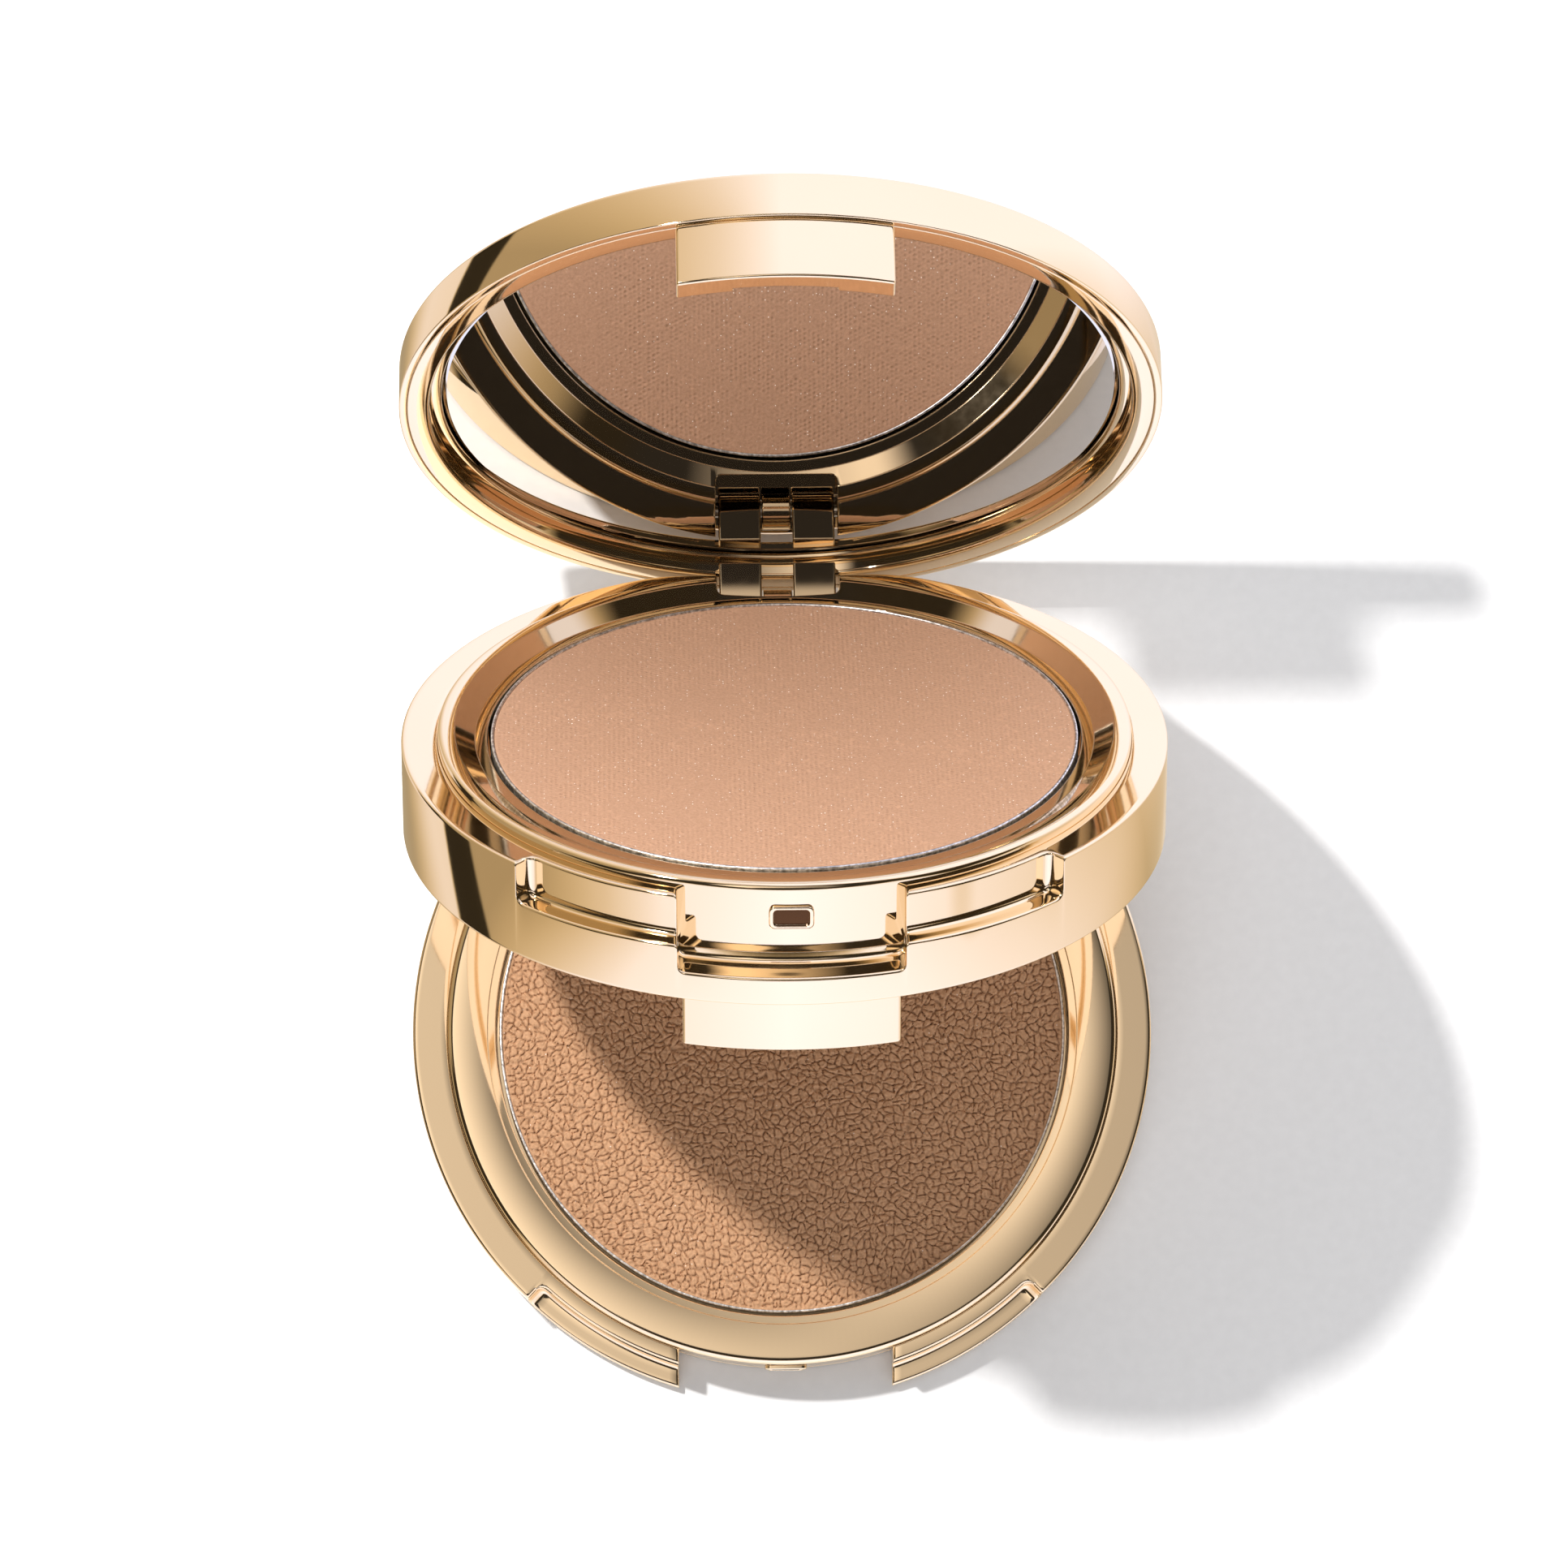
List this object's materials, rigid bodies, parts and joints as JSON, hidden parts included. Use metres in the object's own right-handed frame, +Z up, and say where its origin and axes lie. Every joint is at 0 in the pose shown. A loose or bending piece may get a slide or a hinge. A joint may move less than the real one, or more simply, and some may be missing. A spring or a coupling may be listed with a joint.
{
  "type": "powder compact",
  "caption": "Round two-tier pressed-powder compact in polished pale gold: base tray, hinged middle tray and hinged mirror lid, shown open.",
  "frame": {"origin": "centre of the flat face that the base rests on", "axes": "+Z up, the trays open towards -Y and hinge at +Y, +X to the user's right; rest pose is the open display pose"},
  "size_m": [0.077, 0.1131, 0.0783],
  "materials": {
    "gold_case": "mirror-polished pale gold plating on moulded plastic",
    "pan": "pressed bare aluminium pan",
    "base_powder": "pressed brown-beige powder embossed with a leathery relief",
    "middle_powder": "pressed pinkish-beige powder with a fine cloth grain and a little shimmer",
    "mirror": "silvered flat glass with a bevelled edge",
    "adhesive": "double-sided adhesive pad",
    "label": "blank satin label disc",
    "pin": "drawn steel wire pin"
  },
  "bodies": {
    "base": {"base_shell": "gold_case", "base_tray": "gold_case", "base_catch": "gold_case", "base_pan_adhesive": "adhesive", "base_pan": "pan", "base_powder": "base_powder", "base_label": "label", "base_hinge_pin": "pin"},
    "middle": {"middle_band": "gold_case", "middle_tray": "gold_case", "middle_catch": "gold_case", "middle_underplate": "gold_case", "middle_pan_adhesive": "adhesive", "middle_pan": "pan", "middle_powder": "middle_powder", "lid_hinge_pin": "pin"},
    "lid": {"lid_cover": "gold_case", "lid_frame": "gold_case", "mirror_bezel": "gold_case", "mirror_glass": "mirror", "mirror_adhesive": "adhesive"}
  },
  "joints": [
    {"name": "middle_hinge", "type": "hinge", "parent": "base", "child": "middle", "pos_m": [0, 0.0357, 0.0019], "axis": [-1, 0, 0], "range_deg": [-55, 15]},
    {"name": "lid_hinge", "type": "hinge", "parent": "middle", "child": "lid", "pos_m": [0, 0.04414, 0.00781], "axis": [-1, 0, 0], "range_deg": [-54, 36]}
  ]
}
